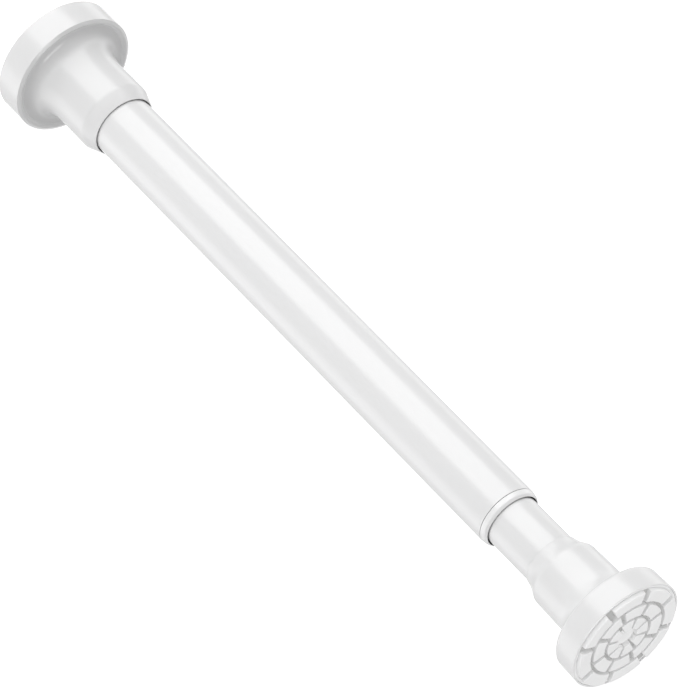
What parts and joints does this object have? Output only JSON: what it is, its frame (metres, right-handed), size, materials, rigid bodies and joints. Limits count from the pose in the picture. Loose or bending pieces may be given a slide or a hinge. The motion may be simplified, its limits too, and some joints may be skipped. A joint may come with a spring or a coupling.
{
  "type": "spring tension rod",
  "caption": "White telescopic rod of two steel tubes with flared plastic feet and ribbed rubber faces, held between two walls by a twist lock and a spring.",
  "frame": {"origin": "centre of the lower foot's rubber face, on the surface that the rod stands on", "axes": "+Z along the rod, from the larger foot to the smaller one; X and Y across the rod"},
  "size_m": [0.0584, 0.0584, 0.3915],
  "materials": {
    "rubber": "matt white rubber",
    "cap_plastic": "satin moulded",
    "tube_enamel": "smooth baked enamel",
    "collar_plastic": "satin moulded",
    "moulded_plug": "plain moulded",
    "grip_plastic": "matt moulded",
    "zinc_steel": "bright zinc plate",
    "spring_steel": "drawn and oiled"
  },
  "bodies": {
    "outer": {"base_pad": "rubber", "base_cap": "cap_plastic", "base_screw": "zinc_steel", "base_washer": "zinc_steel", "base_plug": "moulded_plug", "outer_tube": "tube_enamel", "tube_collar": "collar_plastic"},
    "sleeve": {"expander_sleeve": "grip_plastic"},
    "wedge": {"wedge_nut": "grip_plastic"},
    "spindle": {"spindle": "zinc_steel", "thrust_washer": "zinc_steel", "stop_nut": "zinc_steel", "plunger_head": "zinc_steel", "head_screw": "zinc_steel", "tension_spring": "spring_steel"},
    "inner": {"inner_tube": "tube_enamel", "guide_bush": "moulded_plug", "spring_stop": "moulded_plug", "top_plug": "moulded_plug", "top_screw": "zinc_steel", "top_washer": "zinc_steel", "top_cap": "cap_plastic", "top_pad": "rubber"}
  },
  "joints": [
    {"name": "length_adjust", "type": "slide", "parent": "outer", "child": "sleeve", "axis": [0, 0, 1], "range_m": [0, 0.208]},
    {"name": "wedge_travel", "type": "slide", "parent": "sleeve", "child": "wedge", "axis": [0, 0, 1], "range_m": [0, 0.00125]},
    {"name": "twist_lock", "type": "hinge", "parent": "sleeve", "child": "spindle", "pos_m": [0, 0, 0.05], "axis": [0, 0, 1], "range_deg": [0, 360]},
    {"name": "spring_travel", "type": "slide", "parent": "spindle", "child": "inner", "axis": [0, 0, 1], "range_m": [-0.02, 0], "stiffness_N_per_m": 4000, "springref_m": 0.01, "deforming": ["tension_spring"]}
  ],
  "couplings": [
    {"joint": "twist_lock", "follows": "wedge_travel", "rad_per_m": 5026.5}
  ]
}
